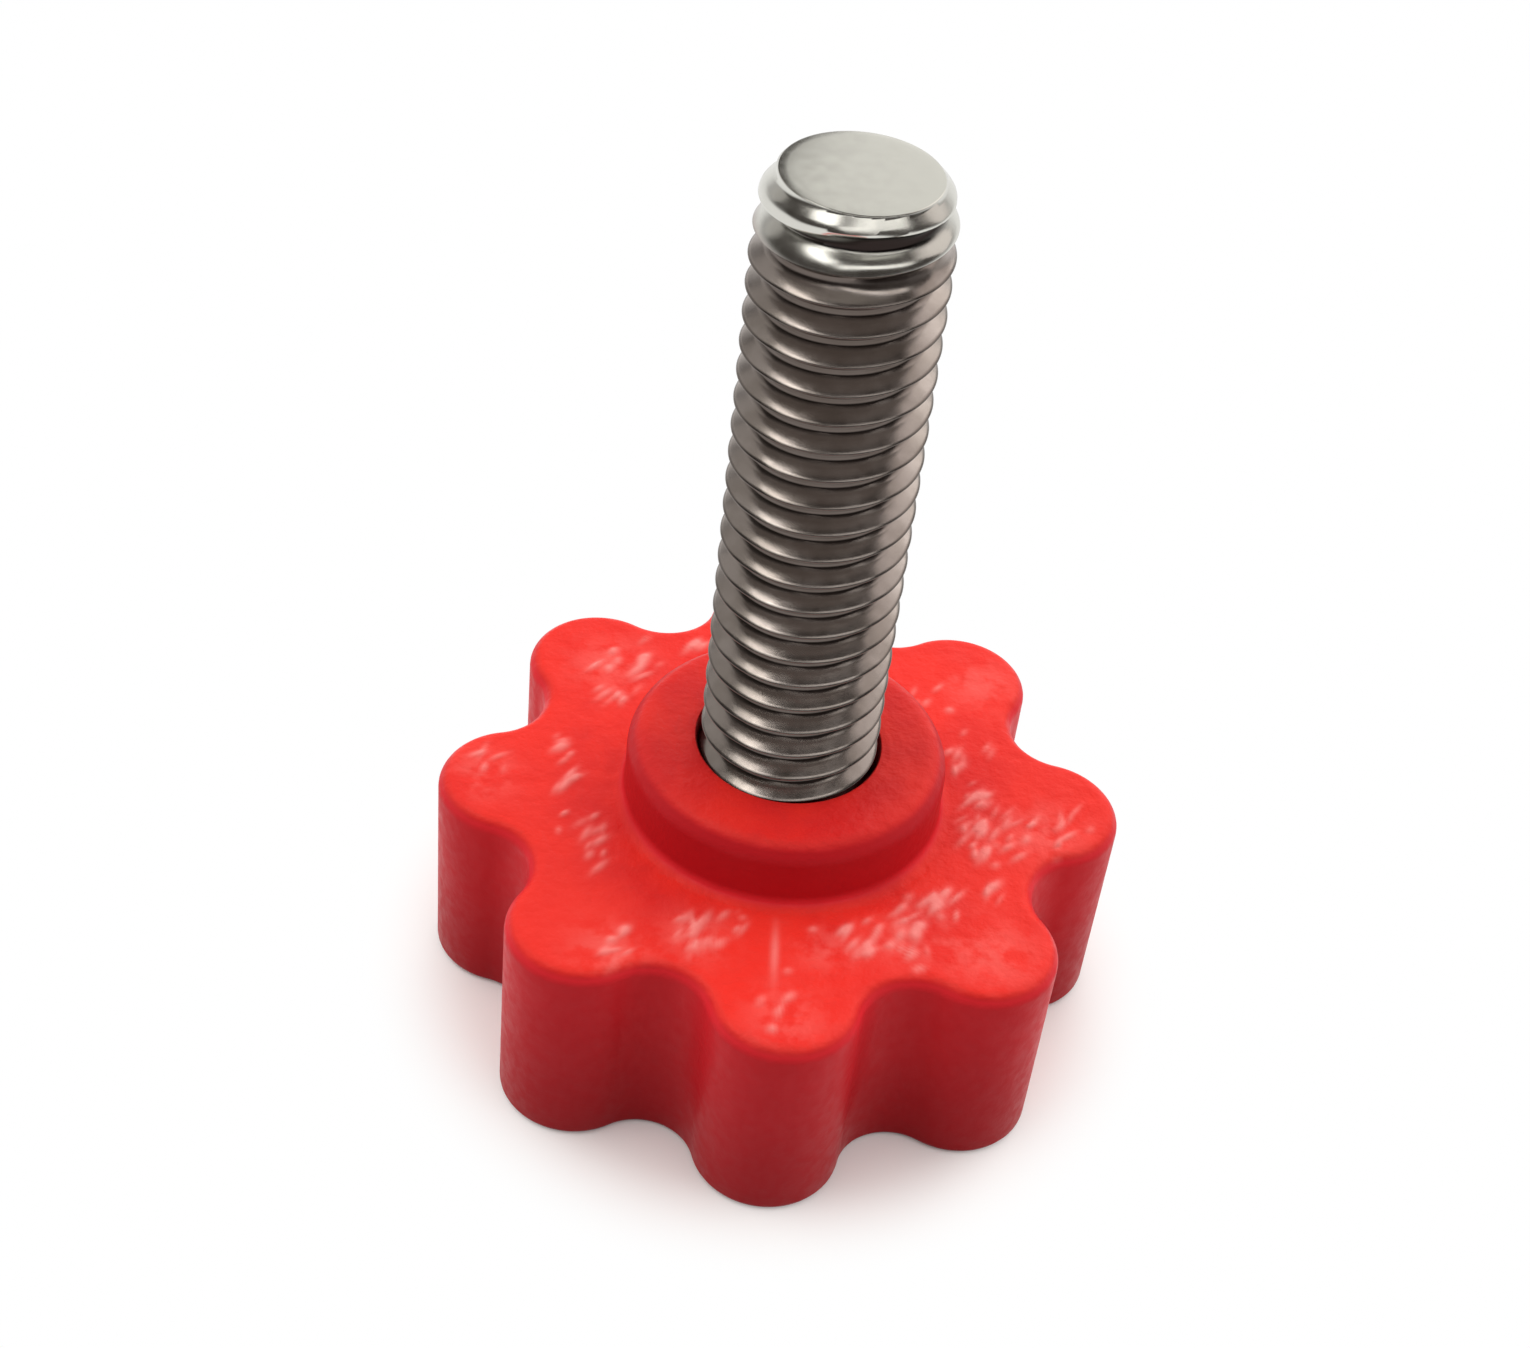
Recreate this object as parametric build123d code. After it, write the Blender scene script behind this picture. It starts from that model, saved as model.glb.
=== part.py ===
from build123d import *
import os
from math import cos, radians, tan

# A lobed hand knob moulded in one piece, with a hex-head bolt held in it.
# The knob stands on its flat outer face. A hex pocket in that face takes the bolt's head, and the
# shank stands up through the boss. Millimetres, +Z up, origin at the centre of the outer face.

# Bolt: M6 by 25, its thread drawn as a plain cylinder at the crest, with a bare neck under the head
thread_diameter = 6.0
thread_pitch = 1.0
bolt_length = 25.0
neck_length = 3.5
head_height = 4.0
head_across_flats = 10.0
head_face_share = 0.95
head_chamfer_angle = 30.0
washer_face_diameter = 8.9
washer_face_height = 0.25
end_chamfer_height = 0.5

# Knob body: round lobes, with a round valley between each two
lobe_count = 8
knob_radius = 11.7
lobe_radius = 2.5
valley_bottom_radius = 9.2
body_height = 7.8
top_edge_radius = 0.5
bottom_edge_chamfer = 0.3

# Boss: the raised collar that the shank comes out of
boss_radius = 5.4
boss_height = 2.5
boss_edge_radius = 0.7

# Fit of the bolt in the knob
head_recess = 2.8
pocket_clearance = 0.1
shank_clearance = 0.1
pocket_lead_in = 0.4

# The bolt's seat: the underside of its head meets the end of the pocket here
seat_height = head_recess + head_height
# Depth of an ISO metric thread, from its crest to its root, and from its crest to its pitch line
thread_depth = 0.613 * thread_pitch
pitch_line_depth = 0.325 * thread_pitch
# Round solids stand on their base, centred on the axis
FROM_BASE = (Align.CENTER, Align.CENTER, Align.MIN)


def lobed_outline():
    """The knob's outline: tip arcs and valley arcs, each tangent to the next."""
    step = 360 / lobe_count
    half_step = step / 2
    lobe_centre = Vector(knob_radius - lobe_radius, 0)
    # The valley's arc touches both lobes beside it, which settles its radius
    chord = lobe_centre.X * cos(radians(half_step))
    slack = lobe_radius**2 - valley_bottom_radius**2 - lobe_centre.X**2 + 2 * valley_bottom_radius * chord
    valley_radius = slack / (2 * (valley_bottom_radius - chord - lobe_radius))
    valley_centre = Vector(valley_bottom_radius + valley_radius, 0).rotate(Axis.Z, half_step)
    meeting = lobe_centre + (valley_centre - lobe_centre).normalized() * lobe_radius
    mirrored = Vector(meeting.X, -meeting.Y)
    valley_bottom = Vector(valley_bottom_radius, 0).rotate(Axis.Z, half_step)
    tip = ThreePointArc(mirrored, Vector(knob_radius, 0), meeting)
    valley = ThreePointArc(meeting, valley_bottom, mirrored.rotate(Axis.Z, step))
    return make_face([arc.rotate(Axis.Z, lobe * step) for lobe in range(lobe_count) for arc in (tip, valley)])


def lobed_body():
    """The lobed body, with its top edge rounded and its bottom edge broken."""
    body = extrude(lobed_outline(), body_height)
    body = fillet(body.edges().group_by(Axis.Z)[-1], top_edge_radius)
    return chamfer(body.edges().group_by(Axis.Z)[0], bottom_edge_chamfer)


def boss():
    """The round collar on top of the body, with its top edge rounded."""
    collar = Cylinder(boss_radius, boss_height, align=FROM_BASE)
    collar = fillet(collar.edges().group_by(Axis.Z)[-1], boss_edge_radius)
    return Pos(0, 0, body_height) * collar


def hexagon(across_flats):
    """A hexagon with two of its flats across Y."""
    return RegularPolygon(across_flats / 2, 6, major_radius=False)


def head_pocket():
    """The hex pocket with a lead-in round its mouth."""
    pocket = extrude(hexagon(head_across_flats + 2 * pocket_clearance), seat_height)
    mouth = hexagon(head_across_flats + 2 * (pocket_clearance + pocket_lead_in))
    lead_in = extrude(mouth, pocket_lead_in, taper=45)
    return pocket + lead_in


def shank_hole():
    """The clearance hole, from the bolt's seat up through the boss."""
    radius = thread_diameter / 2 + shank_clearance
    height = body_height + boss_height - seat_height
    return Pos(0, 0, seat_height) * Cylinder(radius, height, align=FROM_BASE)


def make_knob():
    """The one-piece knob: body, boss, head pocket and shank hole."""
    return lobed_body() + boss() - head_pocket() - shank_hole()


def bolt_head():
    """The hex head, chamfered on its outer face, with a washer face at the seat."""
    prism = extrude(hexagon(head_across_flats), head_height - washer_face_height)
    corner_radius = head_across_flats / 2 / cos(radians(30))
    face_radius = head_across_flats / 2 * head_face_share
    lead = corner_radius - face_radius
    blank = Cylinder(corner_radius, head_height, align=FROM_BASE)
    lowest = blank.edges().group_by(Axis.Z)[0]
    turned = chamfer(lowest, lead * tan(radians(head_chamfer_angle)), lead)
    washer_face = Cylinder(washer_face_diameter / 2, head_height, align=FROM_BASE)
    return Pos(0, 0, head_recess) * ((prism & turned) + (washer_face & turned))


def bolt_shank():
    """The shank: a bare neck at the pitch line, then the thread, chamfered to its root at the end."""
    neck = Cylinder(thread_diameter / 2 - pitch_line_depth, neck_length, align=FROM_BASE)
    thread = Cylinder(thread_diameter / 2, bolt_length - neck_length, align=FROM_BASE)
    thread = chamfer(thread.edges().group_by(Axis.Z)[-1], end_chamfer_height, thread_depth)
    return Pos(0, 0, seat_height) * (neck + Pos(0, 0, neck_length) * thread)


os.makedirs("parts", exist_ok=True)
export_step(make_knob(), "parts/knob.step")
export_step(bolt_head() + bolt_shank(), "parts/bolt.step")
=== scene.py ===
from math import atan2, cos, pi, radians, sin, tan

import bmesh
import bpy
import numpy as np
from mathutils import Matrix, Vector


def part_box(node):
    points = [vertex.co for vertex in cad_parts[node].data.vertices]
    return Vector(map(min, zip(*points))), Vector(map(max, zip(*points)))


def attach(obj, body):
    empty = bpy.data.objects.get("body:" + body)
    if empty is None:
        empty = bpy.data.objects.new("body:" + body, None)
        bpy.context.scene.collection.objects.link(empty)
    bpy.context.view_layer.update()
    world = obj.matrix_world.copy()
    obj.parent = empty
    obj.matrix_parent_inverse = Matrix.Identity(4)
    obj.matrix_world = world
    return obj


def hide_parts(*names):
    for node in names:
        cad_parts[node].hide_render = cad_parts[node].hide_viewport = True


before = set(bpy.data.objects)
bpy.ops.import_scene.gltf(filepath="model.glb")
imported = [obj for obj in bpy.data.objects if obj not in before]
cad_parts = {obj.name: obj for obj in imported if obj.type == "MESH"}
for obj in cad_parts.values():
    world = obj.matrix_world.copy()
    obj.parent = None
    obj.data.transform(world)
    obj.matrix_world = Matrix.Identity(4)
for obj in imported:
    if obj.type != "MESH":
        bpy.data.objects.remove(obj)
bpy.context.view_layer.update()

# Sizes are in millimetres, and the frame is in metres
MM = 0.001
SEED = 8

# Read from the frame: the knob's radius at its lobe tips, the boss's top, and the bolt's two ends
knob_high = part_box("knob")[1] / MM
bolt_low, bolt_high = (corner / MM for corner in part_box("bolt"))
knob_radius = knob_high.x
boss_top = knob_high.z
head_bottom = bolt_low.z
bolt_end = bolt_high.z

# Knob: eight round lobes with round valleys between them, and a boss on top
lobe_count = 8
lobe_radius = 2.5
valley_bottom_radius = 9.2
body_height = 7.8
top_round = 0.5
bottom_round = 0.3
boss_radius = 5.4
boss_round = 0.75
boss_root_round = 0.45
hole_radius = 3.1
hole_rim_round = 0.08
pocket_across_flats = 10.2
pocket_lead_in = 0.4
top_unevenness = 0.015

# Groups of raised marks on the top face, painted pale as glints: direction in degrees, distance from the
# axis, spread, number
mark_groups = (
    (44, 7.4, 0.5, 8), (22, 6.9, 0.5, 8), (4, 6.8, 0.4, 8), (-10, 6.9, 0.5, 12), (-18, 7.4, 0.6, 14),
    (-8, 8.8, 0.8, 16), (-33, 8.2, 0.5, 6), (-42, 7.0, 0.5, 10), (-55, 6.9, 0.5, 14), (-66, 7.2, 0.6, 12),
    (-58, 8.2, 0.6, 8), (-76, 6.6, 0.4, 5), (-90, 9.8, 0.5, 7), (-103, 6.7, 0.5, 9), (-114, 7.4, 0.6, 12),
    (-125, 9.3, 0.6, 8), (-151, 6.9, 0.3, 5), (-162, 7.0, 0.4, 7), (180, 7.2, 0.4, 6), (168, 7.7, 0.4, 7),
    (178, 9.8, 0.6, 5), (142, 7.6, 0.6, 12), (128, 8.0, 0.6, 10), (112, 7.6, 0.5, 8), (95, 7.4, 0.6, 7),
    (70, 7.0, 0.5, 6),
)
mark_height = 0.07
mark_lean = radians(58)
mark_lean_spread = radians(13)
# The shortest and longest, narrowest and widest, and faintest and strongest of the short marks
mark_lengths = (0.16, 0.42)
mark_widths = (0.08, 0.15)
mark_strengths = (0.4, 1.1)
# Where marks lie over each other, they add up to no more than this
mark_limit = 1.2
# Broad soft patches of painted sheen, where the face is painted paler: direction in degrees, distance from
# the axis, radius
sheen_patches = (
    (-8, 9.2, 1.3), (-46, 9.7, 1.4), (-57, 7.6, 1.2), (-90, 10.2, 1.2), (-112, 7.5, 1.1),
    (-126, 9.6, 1.2), (180, 10.2, 1.1), (135, 8.6, 1.4), (-80, 7.3, 0.9), (40, 9.6, 1.2),
)
# One long mark, which points out along the lobe on -Y
ray_direction = radians(-92.5)
ray_start = 6.4
ray_end = 8.6
ray_width = 0.13
ray_strength = 0.8

# Bolt: M6 by 25, with a hex head that has a washer face
thread_radius = 3.0
neck_radius = 2.675
head_height = 4.0
head_across_flats = 10.0
head_face_radius = 4.75
head_chamfer = tan(radians(30))
washer_face_radius = 4.45
washer_face_height = 0.25
seat_height = head_bottom + head_height
# Thread: it rises out of the neck just below the boss's top
pitch = 1.0
thread_depth = 0.613 * pitch
crest_flat = 0.02
crest_round = 0.02
root_round = 0.06
flank_slope = tan(radians(60))
# The height of one crest where it passes +X
crest_height_at_x = 29.43
thread_start = boss_top - 1.3
thread_fade = 1.0
# Its last turns are rolled less sharply, with rounder crests and upper flanks that lean out more
blunt_end_length = 2.5
end_flank_slope = tan(radians(47))
end_crest_round = 0.30
# They are drawn in a little all round, and more so away from where the groove runs out
end_lead_length = 2.4
end_lead_depth = 0.04
side_lead_length = 1.7
side_lead_depth = 0.24
side_lead_start = radians(35)
side_lead_spread = radians(35)
lead_round = 0.06
# Where the thread's groove runs out wide below the chamfer
run_out_direction = radians(-76)
run_out_spread = radians(46)
run_out_height = bolt_end - 0.90
run_out_width = 0.34
# Its end: a chamfer, a small round at the rim and a slightly domed face
end_chamfer_slope = 1.02
end_chamfer_round = 0.16
end_rim_radius = 2.39
end_rim_round = 0.05
end_dome = 0.06
end_rim_height = bolt_end - end_dome - end_rim_round
# Where its colour changes, with painted shade and a paler end: between two distances from the axis, or
# between two heights
root_shade_radii = (2.40, 2.56)
crest_shade_radii = (2.90, 2.97)
shaded_groove = (2.42, 2.62)
root_shade_end = (bolt_end - 0.9, bolt_end - 0.5)
pale_end_heights = (bolt_end - 1.9, bolt_end - 1.55)
groove_foot = (run_out_height - 0.35, run_out_height - 0.2)
groove_head = (run_out_height + 0.2, run_out_height + 0.35)

# Columns round each piece: whole numbers of them per lobe and per side of a hexagon
knob_columns = 576
bolt_columns = 120
rows_per_pitch = 20
row_crowding = 0.074
# Both ends of the bolt are closed by a small flat face in the middle
middle_radius = 0.2
# Half the side of the square floor
floor_half_side = 3000


def smooth_max(a, b, reach):
    """The larger of two values, rounded where they cross."""
    share = np.clip(0.5 + 0.5 * (a - b) / reach, 0, 1)
    return b + (a - b) * share + reach * share * (1 - share)


def smooth_min(a, b, reach):
    """The smaller of two values, rounded where they cross."""
    return -smooth_max(-a, -b, reach)


def smooth_step(value):
    """Goes from 0 to 1 as value does, level at both ends."""
    value = np.clip(value, 0, 1)
    return value * value * (3 - 2 * value)


def ring(xy, height):
    """Points (x, y) lifted to a height, which may differ from point to point."""
    return np.column_stack([xy, np.broadcast_to(height, len(xy))])


def directions(columns):
    """Evenly spaced directions round a circle, starting on +X."""
    return np.arange(columns) * 2 * pi / columns


def circle(radius, columns):
    """Points round a circle. The radius may differ from point to point."""
    angle = directions(columns)
    return np.column_stack([radius * np.cos(angle), radius * np.sin(angle)])


def hexagon(across_flats, columns):
    """Points round a hexagon with two of its flats across Y, with a point on each corner."""
    off_flat = np.mod(directions(columns), pi / 3) - pi / 6
    return circle(across_flats / 2 / np.cos(off_flat), columns)


def between(start, end, count):
    """Rings that lead from one ring to another, both left out."""
    shares = np.arange(1, count + 1) / (count + 1)
    return [start + (end - start) * share for share in shares]


def quarter(count):
    """Angles that turn through a quarter of a circle."""
    return np.linspace(0, pi / 2, count)


def strip(rings, closed):
    """Vertices and quads over rings of points, each ring joined to the next."""
    columns = len(rings[0])
    index = np.arange(len(rings) * columns).reshape(len(rings), columns)
    if closed:
        index = np.vstack([index, index[:1]])
    here, ahead = index[:-1], index[1:]
    quads = np.stack([here, ahead, np.roll(ahead, -1, axis=1), np.roll(here, -1, axis=1)], axis=-1)
    return np.vstack(rings), quads.reshape(-1, 4)


def grid_quads(index):
    """Quads between the neighbouring rows and columns of a grid of vertex numbers."""
    corners = [index[:-1, :-1], index[1:, :-1], index[1:, 1:], index[:-1, 1:]]
    return np.stack(corners, axis=-1).reshape(-1, 4)


def make_object(name, points, faces, sharp_angle, merge=0.0):
    """A smooth-shaded mesh object, with creases where its faces meet at more than an angle."""
    mesh = bpy.data.meshes.new(name)
    mesh.from_pydata((points * MM).tolist(), [], [list(face) for face in faces])
    if merge:
        shape = bmesh.new()
        shape.from_mesh(mesh)
        bmesh.ops.remove_doubles(shape, verts=shape.verts, dist=merge * MM)
        bmesh.ops.dissolve_degenerate(shape, edges=shape.edges, dist=merge * MM)
        bmesh.ops.recalc_face_normals(shape, faces=shape.faces)
        shape.to_mesh(mesh)
        shape.free()
    mesh.validate()
    mesh.shade_smooth()
    mesh.set_sharp_from_angle(angle=sharp_angle)
    piece = bpy.data.objects.new(name, mesh)
    bpy.context.scene.collection.objects.link(piece)
    return piece


# Knob

def lobed_outline():
    """Points round the knob's outline and its outward direction at each, from the tip on +X."""
    half_step = pi / lobe_count
    tip_centre = knob_radius - lobe_radius
    chord = tip_centre * cos(half_step)
    slack = lobe_radius**2 - valley_bottom_radius**2 - tip_centre**2 + 2 * valley_bottom_radius * chord
    valley_radius = slack / (2 * (valley_bottom_radius - chord - lobe_radius))
    valley_centre = (valley_bottom_radius + valley_radius) * np.array([cos(half_step), sin(half_step)])
    # The direction in which the tip's arc ends and the valley's arc starts
    end = atan2(valley_centre[1], valley_centre[0] - tip_centre)
    third = knob_columns // lobe_count // 3
    share = np.arange(third) / third
    tip = end * share
    valley = end + pi + (2 * half_step - 2 * end) * share
    next_tip = end * (share - 1) + 2 * half_step
    next_centre = tip_centre * np.array([cos(2 * half_step), sin(2 * half_step)])
    points, normals = [], []
    for lobe in range(lobe_count):
        turn = 2 * half_step * lobe
        for centre, radius, angle, facing in (
            (tip_centre * np.array([1, 0]), lobe_radius, tip, 1),
            (valley_centre, valley_radius, valley, -1),
            (next_centre, lobe_radius, next_tip, 1),
        ):
            direction = np.column_stack([np.cos(angle), np.sin(angle)])
            spin = np.array([[cos(turn), sin(turn)], [-sin(turn), cos(turn)]])
            points.append((centre + radius * direction) @ spin)
            normals.append(facing * direction @ spin)
    return np.vstack(points), np.vstack(normals)


def blob(points, place, lean, length, width):
    """1 at a place and less away from it, drawn out along its lean."""
    across = points[:, :2] - place
    along = across @ np.array([cos(lean), sin(lean)])
    aside = across @ np.array([-sin(lean), cos(lean)])
    return np.exp(-(along / length) ** 2 - (aside / width) ** 2)


def polar(direction, distance):
    """A place on the top face, from its direction and distance from the axis."""
    return distance * np.array([cos(direction), sin(direction)])


def marks_at(points):
    """How strongly each point of the top face is marked: groups of short strokes and one long one."""
    rng = np.random.default_rng(SEED)
    strength = np.zeros(len(points))
    for direction, distance, spread, number in mark_groups:
        for _ in range(number):
            place = polar(radians(direction), distance) + rng.normal(0, spread, 2)
            lean = mark_lean + rng.normal(0, mark_lean_spread)
            length = rng.uniform(*mark_lengths)
            width = rng.uniform(*mark_widths)
            strength += rng.uniform(*mark_strengths) * blob(points, place, lean, length, width)
    middle = polar(ray_direction, (ray_start + ray_end) / 2)
    strength += ray_strength * blob(points, middle, ray_direction, (ray_end - ray_start) / 2, ray_width)
    return np.minimum(strength, mark_limit)


def sheen_patches_at(points):
    """How strongly each point of the top face lies in a patch of painted sheen."""
    strength = np.zeros(len(points))
    for direction, distance, size in sheen_patches:
        strength += blob(points, polar(radians(direction), distance), 0, size, size)
    return np.minimum(strength, 1)


def top_relief(points):
    """How high the moulded top face stands at each point: a slow unevenness, and the marks."""
    x, y = points[:, 0], points[:, 1]
    waves = np.sin(1.1 * x + 0.4 * y) * np.sin(0.9 * y - 0.3 * x)
    return top_unevenness * waves + mark_height * marks_at(points)


def add_attribute(piece, name, values):
    """Keeps a value for each point of a piece, for its material to read."""
    layer = piece.data.attributes.new(name, "FLOAT", "POINT")
    layer.data.foreach_set("value", values.astype(np.float32))


def boss_rings():
    """Rings over the boss: its top, its rounded shoulder, its side and the soft corner at its root."""
    inner = ring(circle(hole_radius + hole_rim_round, knob_columns), boss_top)
    outer = ring(circle(boss_radius - boss_round, knob_columns), boss_top)
    rings = [inner] + between(inner, outer, 4)
    for turn in quarter(12):
        radius = boss_radius - boss_round * (1 - sin(turn))
        rings.append(ring(circle(radius, knob_columns), boss_top - boss_round * (1 - cos(turn))))
    for turn in quarter(8):
        radius = boss_radius + boss_root_round * (1 - cos(turn))
        rings.append(ring(circle(radius, knob_columns), body_height + boss_root_round * (1 - sin(turn))))
    return rings


def top_face_rings(start, edge):
    """Rings over the uneven, marked top face, which is level again where it meets the boss and the edge."""
    rings = between(start, edge, 54)
    for share, level in zip(np.linspace(0, 1, len(rings)), rings):
        level[:, 2] += top_relief(level) * smooth_step(share / 0.08) * smooth_step((1 - share) / 0.1)
    return rings


def wall_rings(outline, outward):
    """Rings down the lobed wall, from its rounded top edge to its rounded bottom edge."""
    rings = []
    for turn in quarter(9):
        inset = top_round * (1 - sin(turn))
        rings.append(ring(outline - outward * inset, body_height - top_round * (1 - cos(turn))))
    rings += between(rings[-1], ring(outline, bottom_round), 7)
    for turn in quarter(6):
        inset = bottom_round * (1 - cos(turn))
        rings.append(ring(outline - outward * inset, bottom_round * (1 - sin(turn))))
    return rings


def outer_face_rings(edge):
    """Rings over the hidden outer face, into the hex pocket with its lead-in, and up the shank's hole."""
    mouth = ring(hexagon(pocket_across_flats + 2 * pocket_lead_in, knob_columns), 0)
    throat = ring(hexagon(pocket_across_flats, knob_columns), pocket_lead_in)
    ceiling = ring(hexagon(pocket_across_flats, knob_columns), seat_height)
    hole = ring(circle(hole_radius, knob_columns), seat_height)
    hole_top = ring(circle(hole_radius, knob_columns), boss_top - hole_rim_round)
    rings = between(edge, mouth, 8) + [mouth, throat] + between(throat, ceiling, 5) + [ceiling]
    rings += between(ceiling, hole, 4) + [hole] + between(hole, hole_top, 3)
    for turn in quarter(4)[:-1]:
        radius = hole_radius + hole_rim_round * (1 - cos(turn))
        rings.append(ring(circle(radius, knob_columns), boss_top - hole_rim_round * (1 - sin(turn))))
    return rings


def make_knob():
    """The one-piece knob: boss, lobed body, and on the hidden face the pocket for the bolt's head."""
    outline, outward = lobed_outline()
    rings = boss_rings()
    rings += top_face_rings(rings[-1], ring(outline - outward * top_round, body_height))
    rings += wall_rings(outline, outward)
    rings += outer_face_rings(rings[-1])
    points, quads = strip(rings, closed=True)
    piece = make_object("knob_body", points, quads, radians(40))
    # Marks and patches of painted sheen lie on the top face, and neither on the boss nor on the walls
    off_root = np.hypot(points[:, 0], points[:, 1]) - boss_radius - boss_root_round
    on_top = smooth_step((points[:, 2] - body_height + 0.3) / 0.3) * smooth_step((off_root + 0.1) / 0.3)
    add_attribute(piece, "marks", marks_at(points) * on_top)
    add_attribute(piece, "sheen_patches", sheen_patches_at(points) * on_top)
    return piece


# Bolt

def thread_profile(phase, upper_slope, crest_rounding):
    """The thread's radius at a phase: whole numbers are the crests, and its upper flank lies above each."""
    above_crest = np.mod(phase, 1) * pitch
    fall = np.minimum(above_crest * upper_slope, (pitch - above_crest) * flank_slope)
    fall = smooth_max(fall - crest_flat, 0, crest_rounding)
    return thread_radius - smooth_min(fall, thread_depth, root_round)


def shank_radius(angle, height):
    """The shank's radius: the neck, the thread that rises out of it, and the chamfer that ends it."""
    phase = (height - crest_height_at_x) / pitch - angle / (2 * pi)
    near_end = smooth_step((height - bolt_end + blunt_end_length) / 0.5)
    upper_slope = flank_slope + (end_flank_slope - flank_slope) * near_end
    profile = thread_profile(phase, upper_slope, crest_round + (end_crest_round - crest_round) * near_end)
    thread = neck_radius + (profile - neck_radius) * smooth_step((height - thread_start) / thread_fade)
    off_run_out = np.mod(angle - run_out_direction + pi, 2 * pi) - pi
    aside = smooth_step((np.abs(off_run_out) - side_lead_start) / side_lead_spread)
    lead = thread_radius - end_lead_depth * smooth_step((height - bolt_end) / end_lead_length + 1)
    lead = lead - side_lead_depth * aside * smooth_step((height - bolt_end) / side_lead_length + 1)
    cone = end_rim_radius + (end_rim_height - height) * end_chamfer_slope
    radius = smooth_min(smooth_min(thread, lead, lead_round), cone, end_chamfer_round)
    groove = np.exp(-(off_run_out / run_out_spread) ** 2 - ((height - run_out_height) / run_out_width) ** 4)
    return radius + (np.minimum(radius, thread_radius - thread_depth) - radius) * groove


def bolt_head_rings():
    """Rings from the middle of the head's face, round the chamfered hexagon, to its washer face."""
    columns = bolt_columns
    hexagonal = hexagon(head_across_flats, columns)
    corner = np.hypot(hexagonal[:, 0], hexagonal[:, 1])
    face_edge = ring(circle(head_face_radius, columns), head_bottom)
    chamfer_edge = ring(hexagonal, head_bottom + (corner - head_face_radius) * head_chamfer)
    prism_top = ring(hexagonal, seat_height - washer_face_height)
    washer_low = ring(circle(washer_face_radius, columns), seat_height - washer_face_height)
    washer_high = ring(circle(washer_face_radius, columns), seat_height)
    neck_low = ring(circle(neck_radius, columns), seat_height)
    middle = ring(circle(middle_radius, columns), head_bottom)
    rings = [middle] + between(middle, face_edge, 3) + [face_edge] + between(face_edge, chamfer_edge, 2)
    rings += [chamfer_edge] + between(chamfer_edge, prism_top, 3)
    return rings + [prism_top, washer_low, washer_high, neck_low]


def thread_grid(low, high):
    """Vertices and quads of the threaded length, in rows that climb one pitch a turn as the thread does."""
    columns = bolt_columns
    rows = int((high - low) / pitch * rows_per_pitch) + 2 * rows_per_pitch
    row, column = np.meshgrid(np.arange(rows), np.arange(columns), indexing="ij")
    angle = column * 2 * pi / columns
    base = crest_height_at_x + np.floor(low - crest_height_at_x - pitch)
    # Rows crowd towards the crests and the roots, where the thread is rounded
    turn = row / rows_per_pitch
    turn = turn - row_crowding * np.sin(4 * pi * turn)
    height = np.clip(base + pitch * (turn + column / columns), low, high)
    radius = shank_radius(angle, height)
    points = np.stack([radius * np.cos(angle), radius * np.sin(angle), height], axis=-1).reshape(-1, 3)
    index = row * columns + column
    # Past the last column a row goes on as the row one pitch higher
    quads = [grid_quads(index)]
    last, first = index[:-rows_per_pitch - 1, -1], index[rows_per_pitch:-1, 0]
    above_last, above_first = index[1:-rows_per_pitch, -1], index[rows_per_pitch + 1:, 0]
    quads.append(np.stack([last, above_last, above_first, first], axis=-1))
    return points, np.vstack(quads)


def bolt_end_rings():
    """Rings over the bolt's end: the small round at its rim, and its slightly domed face."""
    columns = bolt_columns
    rim_radius = shank_radius(directions(columns), end_rim_height)
    rings = []
    for turn in quarter(5):
        radius = rim_radius - end_rim_round * (1 - cos(turn))
        rings.append(ring(circle(radius, columns), end_rim_height + end_rim_round * sin(turn)))
    middle = ring(circle(middle_radius, columns), bolt_end)
    face = between(rings[-1], middle, 8) + [middle]
    for level in face:
        level[:, 2] = bolt_end - end_dome * (np.hypot(level[:, 0], level[:, 1]) / rim_radius) ** 2
    return rings + face


def make_bolt():
    """The bolt in one closed mesh: chamfered hex head, neck, rolled thread and chamfered end."""
    columns = bolt_columns
    rings = bolt_head_rings()
    neck_radii = shank_radius(directions(columns), thread_start)
    neck_high = ring(circle(neck_radii, columns), thread_start)
    rings += between(rings[-1], neck_high, 3) + [neck_high]
    points, faces = [], []
    shift = 0
    for part_points, part_quads in (
        strip(rings, closed=False),
        thread_grid(thread_start, end_rim_height),
        strip(bolt_end_rings(), closed=False),
    ):
        points.append(part_points)
        faces += (part_quads + shift).tolist()
        shift += len(part_points)
    # The two flat ends are closed in the middle
    faces.append(list(range(columns)))
    faces.append(list(range(shift - 1, shift - 1 - columns, -1)))
    return make_object("bolt_body", np.vstack(points), faces, radians(38), merge=0.001)


# Materials

def new_material(name):
    """A new node material, with its node tree and its Principled shader."""
    material = bpy.data.materials.new(name)
    material.use_nodes = True
    tree = material.node_tree
    return material, tree, tree.nodes["Principled BSDF"]


def node(tree, kind, inputs, **settings):
    """A shader node with its settings, each input a value or the output of another node."""
    made = tree.nodes.new(kind)
    for name, value in settings.items():
        setattr(made, name, value)
    for key, value in inputs.items():
        if isinstance(value, bpy.types.NodeSocket):
            tree.links.new(value, made.inputs[key])
        else:
            made.inputs[key].default_value = value
    return made


def math_node(tree, operation, a, b):
    """The output of a Math node."""
    return node(tree, "ShaderNodeMath", {0: a, 1: b}, operation=operation).outputs[0]


def noise(tree, place, scale, detail):
    """The output of a noise texture, its scale in features per metre."""
    inputs = {"Vector": place, "Scale": scale, "Detail": detail, "Roughness": 0.55}
    return node(tree, "ShaderNodeTexNoise", inputs).outputs["Fac"]


def ramp(tree, value, low, high, start=0.0, end=1.0):
    """A value mapped from low..high to start..end, level at both ends and held there."""
    inputs = {"Value": value, "From Min": low, "From Max": high, "To Min": start, "To Max": end}
    return node(tree, "ShaderNodeMapRange", inputs, interpolation_type="SMOOTHSTEP").outputs["Result"]


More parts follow.
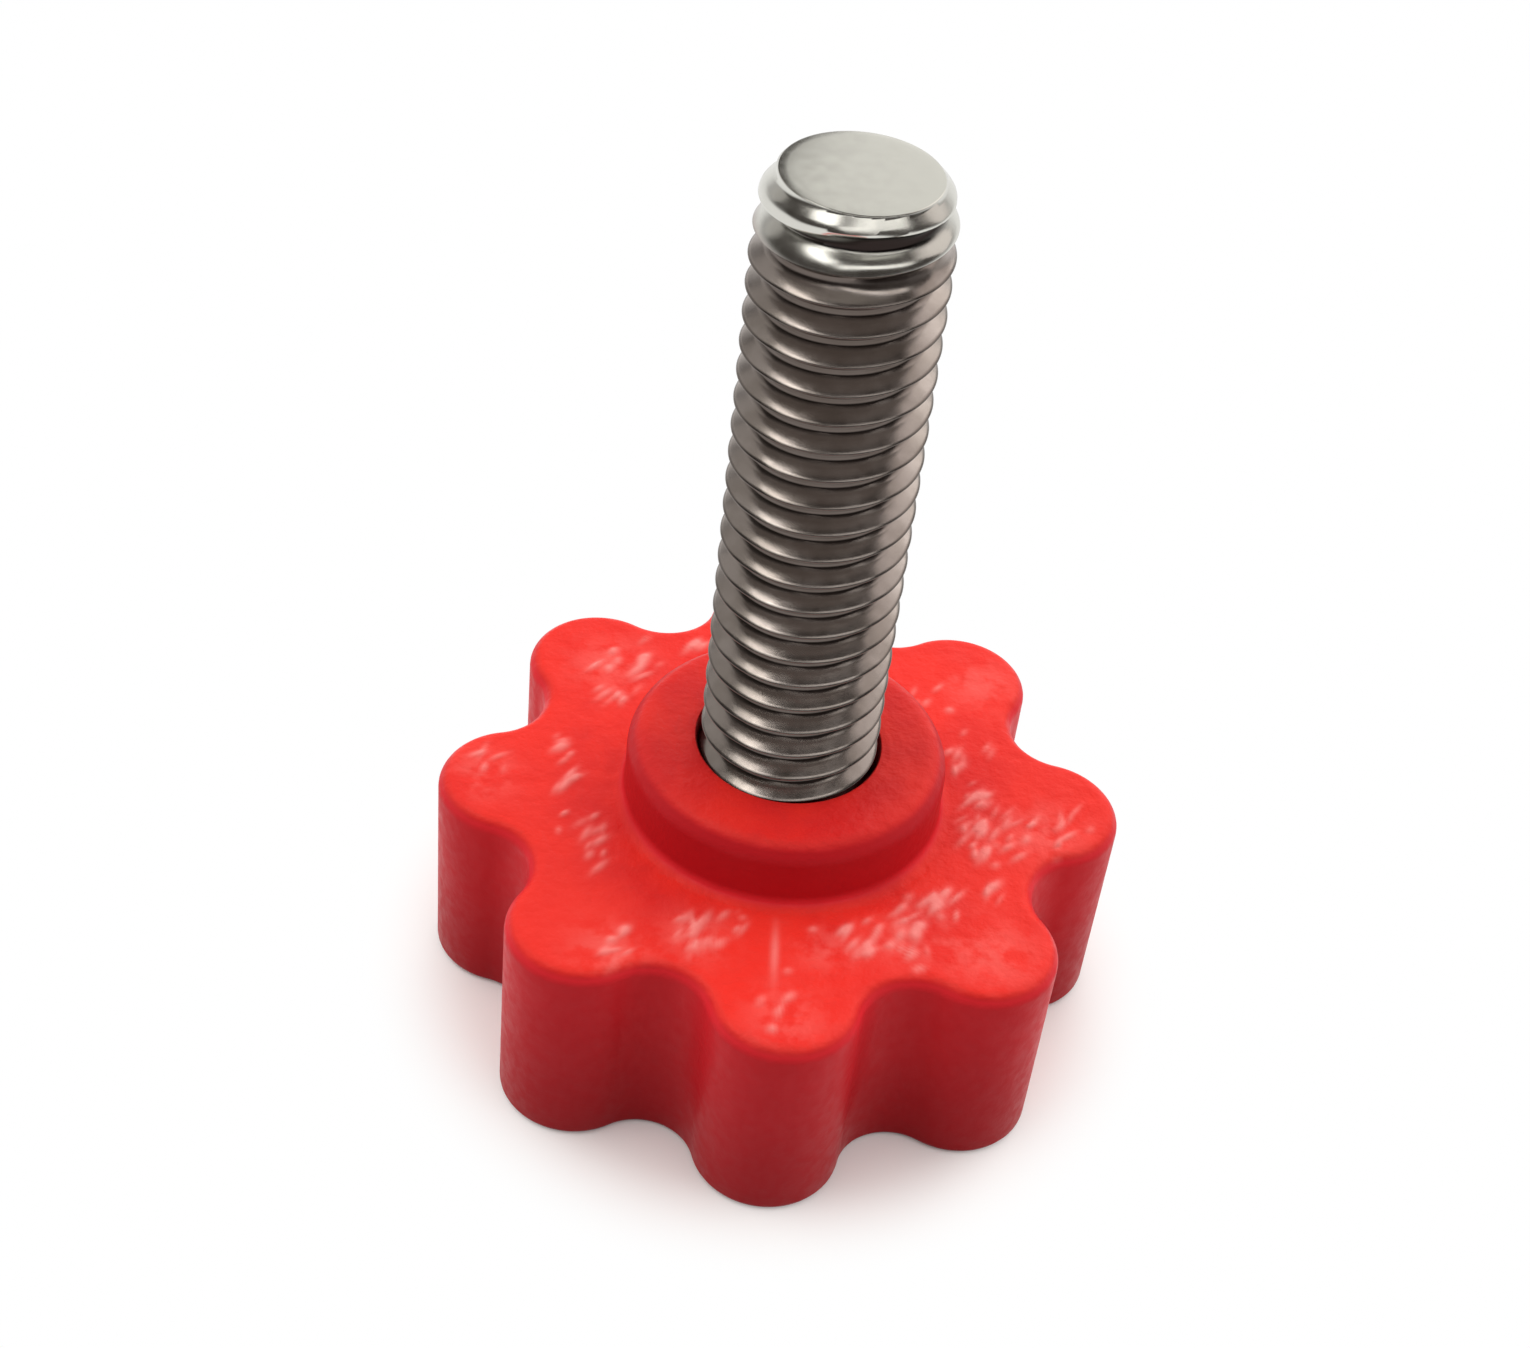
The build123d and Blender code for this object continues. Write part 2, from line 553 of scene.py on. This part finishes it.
def ramp_mm(tree, value, limits, start=0.0, end=1.0):
    """A length mapped to start..end between two limits in millimetres, and held there."""
    return ramp(tree, value, limits[0] * MM, limits[1] * MM, start, end)


def mix_colour(tree, share, a, b):
    """Two colours mixed by a share: all of the first at 0, and all of the second at 1."""
    return node(tree, "ShaderNodeMix", {0: share, 6: a, 7: b}, data_type="RGBA").outputs[2]


def bump(tree, height, strength, distance, normal=None):
    """The normal of a surface with fine relief, its distance in millimetres."""
    inputs = {"Strength": strength, "Distance": distance * MM, "Height": height}
    if normal is not None:
        inputs["Normal"] = normal
    return node(tree, "ShaderNodeBump", inputs).outputs[0]


def upright(tree, vector):
    """The Z of a vector."""
    return node(tree, "ShaderNodeSeparateXYZ", {0: vector}).outputs["Z"]


def attribute(tree, name):
    """A value that is kept for each point of a piece."""
    return node(tree, "ShaderNodeAttribute", {}, attribute_name=name).outputs["Fac"]


def axis_distance(tree, place):
    """How far a point is from the part's axis, in metres."""
    flat = node(tree, "ShaderNodeVectorMath", {0: place, 1: (1, 1, 0)}, operation="MULTIPLY").outputs[0]
    return node(tree, "ShaderNodeVectorMath", {0: flat}, operation="LENGTH").outputs["Value"]


def red_plastic():
    """Red moulded plastic: satin walls, a boss painted darker as shade, and a top with painted sheen in
    patches, and marks.
    """
    material, tree, shader = new_material("red_plastic")
    where = node(tree, "ShaderNodeTexCoord", {})
    place = where.outputs["Object"]
    height = upright(tree, place)
    facing_up = ramp(tree, upright(tree, where.outputs["Normal"]), 0.55, 0.95)
    marks = attribute(tree, "marks")
    # Walls, painted darker towards the foot as shade, and the top face, painted in a warmer hue as the lit
    # face
    foot_shade = ramp_mm(tree, height, (0, 0.9 * body_height), 0.65, 0.0)
    wall = mix_colour(tree, foot_shade, (0.82, 0.024, 0.034, 1), (0.40, 0.014, 0.020, 1))
    colour = mix_colour(tree, facing_up, wall, (0.84, 0.030, 0.020, 1))
    # The boss is painted darker as shade, and most of all on its side
    on_boss = ramp_mm(tree, height, (body_height + 0.1, body_height + 0.5))
    boss_shade = math_node(tree, "MULTIPLY", on_boss, ramp(tree, facing_up, 0.0, 1.0, 0.75, 0.22))
    colour = mix_colour(tree, boss_shade, colour, (0.46, 0.008, 0.013, 1))
    # Uneven colour, and near the boss stronger as painted shade between the marks
    cloud = ramp(tree, noise(tree, place, 300.0, 3.0), 0.35, 0.68)
    near_boss = ramp_mm(tree, axis_distance(tree, place), (6.4, 8.6), 0.55, 0.2)
    colour = mix_colour(tree, math_node(tree, "MULTIPLY", cloud, near_boss), colour, (0.56, 0.012, 0.016, 1))
    # Painted sheen in pale patches, broken up by noise, and the marks painted pale as glints on their relief
    broken = ramp(tree, noise(tree, place, 1100.0, 3.0), 0.36, 0.62)
    painted_sheen = math_node(tree, "MULTIPLY", attribute(tree, "sheen_patches"), broken)
    colour = mix_colour(tree, math_node(tree, "MULTIPLY", painted_sheen, 0.42), colour, (0.92, 0.17, 0.15, 1))
    colour = mix_colour(tree, math_node(tree, "MULTIPLY", marks, 0.5), colour, (0.95, 0.36, 0.33, 1))
    tree.links.new(colour, shader.inputs["Base Color"])
    # Satin gloss, brighter on the marks
    grain = noise(tree, place, 2400.0, 3.0)
    rough = ramp(tree, grain, 0.3, 0.7, 0.36, 0.50)
    rough = math_node(tree, "SUBTRACT", rough, math_node(tree, "MULTIPLY", marks, 0.12))
    tree.links.new(rough, shader.inputs["Roughness"])
    shader.inputs["Specular IOR Level"].default_value = 0.11
    # Fine grain, coarser on the top face
    coarse = math_node(tree, "MULTIPLY", noise(tree, place, 1500.0, 4.0), facing_up)
    relief = bump(tree, coarse, 0.6, 0.16, bump(tree, grain, 0.35, 0.06))
    tree.links.new(relief, shader.inputs["Normal"])
    return material


def stainless_steel():
    """Warm grey stainless steel: painted shade on the crests, lower flanks and roots, and paler metal at the
    end.
    """
    material, tree, shader = new_material("stainless_steel")
    where = node(tree, "ShaderNodeTexCoord", {})
    place = where.outputs["Object"]
    height = upright(tree, place)
    radius = axis_distance(tree, place)
    mottle = ramp(tree, noise(tree, place, 700.0, 4.0), 0.35, 0.65)
    metal = mix_colour(tree, mottle, (0.43, 0.38, 0.35, 1), (0.35, 0.305, 0.275, 1))
    # Painted shade on the faces that look down, the lower flanks
    facing_down = ramp(tree, upright(tree, where.outputs["Normal"]), -0.5, -0.15, 1.0, 0.0)
    metal = mix_colour(tree, facing_down, metal, (0.15, 0.128, 0.115, 1))
    # Painted shade in the roots, all but the last, and on the crests
    in_root = ramp_mm(tree, radius, root_shade_radii, 1.0, 0.0)
    root_shade = math_node(tree, "MULTIPLY", in_root, ramp_mm(tree, height, root_shade_end, 1.0, 0.0))
    metal = mix_colour(tree, math_node(tree, "MULTIPLY", root_shade, 0.8), metal, (0.08, 0.06, 0.05, 1))
    # The crests are painted darker as painted shade, in place of their bright reflection
    crest = ramp_mm(tree, radius, crest_shade_radii)
    metal = mix_colour(tree, math_node(tree, "MULTIPLY", crest, 0.68), metal, (0.09, 0.075, 0.065, 1))
    # Paler metal at the end, and painted shade in the groove where the thread runs out
    pale_end = ramp_mm(tree, height, pale_end_heights)
    metal = mix_colour(tree, pale_end, metal, (0.66, 0.65, 0.60, 1))
    groove_low = ramp_mm(tree, height, groove_foot)
    groove_high = ramp_mm(tree, height, groove_head, 1.0, 0.0)
    groove = math_node(tree, "MULTIPLY", groove_low, groove_high)
    groove = math_node(tree, "MULTIPLY", groove, ramp_mm(tree, radius, shaded_groove, 1.0, 0.0))
    metal = mix_colour(tree, groove, metal, (0.03, 0.022, 0.02, 1))
    tree.links.new(metal, shader.inputs["Base Color"])
    shader.inputs["Metallic"].default_value = 1.0
    rough = ramp(tree, noise(tree, place, 1800.0, 3.0), 0.3, 0.7, 0.20, 0.27)
    rough = math_node(tree, "SUBTRACT", rough, math_node(tree, "MULTIPLY", pale_end, 0.02))
    tree.links.new(rough, shader.inputs["Roughness"])
    # Fine grain, which the paler end lacks
    off_end = math_node(tree, "SUBTRACT", 1.0, pale_end)
    grain = math_node(tree, "MULTIPLY", noise(tree, place, 5200.0, 2.0), off_end)
    tree.links.new(bump(tree, grain, 0.1, 0.01), shader.inputs["Normal"])
    return material


def floor_material():
    """A pale floor that keeps the shadow near the object and goes to plain white away from it."""
    material, tree, shader = new_material("floor")
    tree.nodes.remove(shader)
    radius = axis_distance(tree, node(tree, "ShaderNodeTexCoord", {}).outputs["Object"])
    rays = node(tree, "ShaderNodeLightPath", {}).outputs
    seen = math_node(tree, "MAXIMUM", rays["Is Camera Ray"], rays["Is Glossy Ray"])
    seen = math_node(tree, "MAXIMUM", seen, rays["Is Transmission Ray"])
    colour = mix_colour(tree, seen, (0.3, 0.3, 0.3, 1), (1.0, 0.97, 0.96, 1))
    diffuse = node(tree, "ShaderNodeBsdfDiffuse", {"Color": colour})
    white = node(tree, "ShaderNodeEmission", {"Color": (1, 1, 1, 1), "Strength": 1.0})
    away = math_node(tree, "MULTIPLY", ramp_mm(tree, radius, (10.5, 14.5), 0.1, 1.0), seen)
    mixed = node(tree, "ShaderNodeMixShader", {0: away, 1: diffuse.outputs[0], 2: white.outputs[0]})
    tree.links.new(mixed.outputs[0], tree.nodes["Material Output"].inputs["Surface"])
    return material


# Pieces

def dress(piece, node_name, material):
    """Gives a piece its material and its body, and hides the CAD node that it stands for."""
    piece.data.materials.append(material)
    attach(piece, "root")
    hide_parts(node_name)


dress(make_knob(), "knob", red_plastic())
dress(make_bolt(), "bolt", stainless_steel())


# Floor

def make_floor():
    """A large square floor that the knob stands on."""
    edge = np.linspace(-floor_half_side, floor_half_side, 5)
    x, y = np.meshgrid(edge, edge, indexing="ij")
    points = np.column_stack([x.ravel(), y.ravel(), np.zeros(x.size)])
    index = np.arange(x.size).reshape(x.shape)
    return make_object("floor", points, grid_quads(index), radians(30))


floor = make_floor()
floor.data.materials.append(floor_material())


# Camera values: fitted to the photograph, which is 1530 by 1348 pixels

photo_width = 1530
focal_pixels = 2448.4
camera_elevation = radians(40.74)
camera_turn = radians(-4.93)
camera_roll = radians(6.82)
camera_distance = 80.5
camera_target = Vector((-1.045, 0, 12.99))


# Light

def lamp(name, azimuth, elevation, distance, width, height, level, colour):
    """A soft rectangular lamp that faces the object. Level 1 lights a white card that faces it to white."""
    data = bpy.data.lights.new(name, "AREA")
    data.shape = "RECTANGLE"
    data.size = width
    data.size_y = height
    data.energy = level * pi**2 * distance**2
    data.color = colour
    made = bpy.data.objects.new(name, data)
    bpy.context.scene.collection.objects.link(made)
    away = Vector((cos(azimuth) * cos(elevation), sin(azimuth) * cos(elevation), sin(elevation)))
    aim = Vector((0, 0, 12 * MM))
    made.location = aim + away * distance
    made.rotation_euler = away.to_track_quat("Z", "Y").to_euler()


lamp("back_window", radians(63), radians(33), 0.5, 0.42, 0.35, 0.165, (1.0, 1.0, 0.97))
lamp("left_lamp", radians(168), radians(60), 0.4, 0.18, 0.10, 0.10, (1.0, 0.99, 0.95))
lamp("front_left_lamp", radians(-151), radians(58), 0.5, 0.20, 0.14, 0.078, (1.0, 0.99, 0.97))
lamp("front_strip", radians(-68), radians(60), 0.5, 0.62, 0.12, 0.14, (1.0, 0.99, 0.97))
lamp("right_card", radians(30), radians(38), 0.5, 0.35, 0.35, 0.13, (1.0, 0.93, 0.90))
lamp("left_card", radians(135), radians(34), 0.5, 0.25, 0.3, 0.04, (1.0, 0.98, 0.95))

world = bpy.data.worlds.new("room")
bpy.context.scene.world = world
world.use_nodes = True


def dress_world(tree):
    """A soft light that is weaker in front, and for reflections a pale room with a dark ceiling."""
    direction = node(tree, "ShaderNodeTexCoord", {}).outputs["Generated"]
    height = upright(tree, direction)
    rays = node(tree, "ShaderNodeLightPath", {}).outputs
    reflected = math_node(tree, "MAXIMUM", rays["Is Glossy Ray"], rays["Is Transmission Ray"])
    # The front is the side that the photograph was taken from
    front = Vector((sin(camera_turn), -cos(camera_turn), 0))
    towards_front = node(tree, "ShaderNodeVectorMath", {0: direction, 1: front}, operation="DOT_PRODUCT")
    level = ramp(tree, height, 0.0, 0.85, 0.84, 0.82)
    weaker = ramp(tree, towards_front.outputs["Value"], 0.1, 0.7, 1.0, 0.10)
    level = math_node(tree, "MULTIPLY", level, weaker)
    soft = mix_colour(tree, level, (0, 0, 0, 1), (1.4, 1.39, 1.36, 1))
    room = mix_colour(tree, ramp(tree, height, 0.0, 0.38), (1, 1, 1, 1), (0.045, 0.038, 0.034, 1))
    colour = mix_colour(tree, reflected, soft, room)
    colour = mix_colour(tree, rays["Is Camera Ray"], colour, (1, 1, 1, 1))
    background = tree.nodes["Background"]
    tree.links.new(colour, background.inputs["Color"])
    background.inputs["Strength"].default_value = 1.0


dress_world(world.node_tree)


# Camera

def make_camera():
    """The photograph's camera: above and in front of the lobe on -Y, and slightly rolled."""
    data = bpy.data.cameras.new("camera")
    data.sensor_width = 36.0
    data.lens = focal_pixels / photo_width * data.sensor_width
    data.clip_start = 0.001
    made = bpy.data.objects.new("camera", data)
    bpy.context.scene.collection.objects.link(made)
    back = Vector((0, -cos(camera_elevation), sin(camera_elevation)))
    right = Vector((1, 0, 0))
    up = back.cross(right)
    rolled_right = cos(camera_roll) * right + sin(camera_roll) * up
    rolled_up = cos(camera_roll) * up - sin(camera_roll) * right
    axes = Matrix((rolled_right, rolled_up, back)).transposed()
    spin = Matrix.Rotation(camera_turn, 3, "Z")
    place = spin @ (camera_target + back * camera_distance) * MM
    made.matrix_world = Matrix.Translation(place) @ (spin @ axes).to_4x4()
    return made


bpy.context.scene.camera = make_camera()
bpy.context.scene.view_settings.view_transform = "Standard"
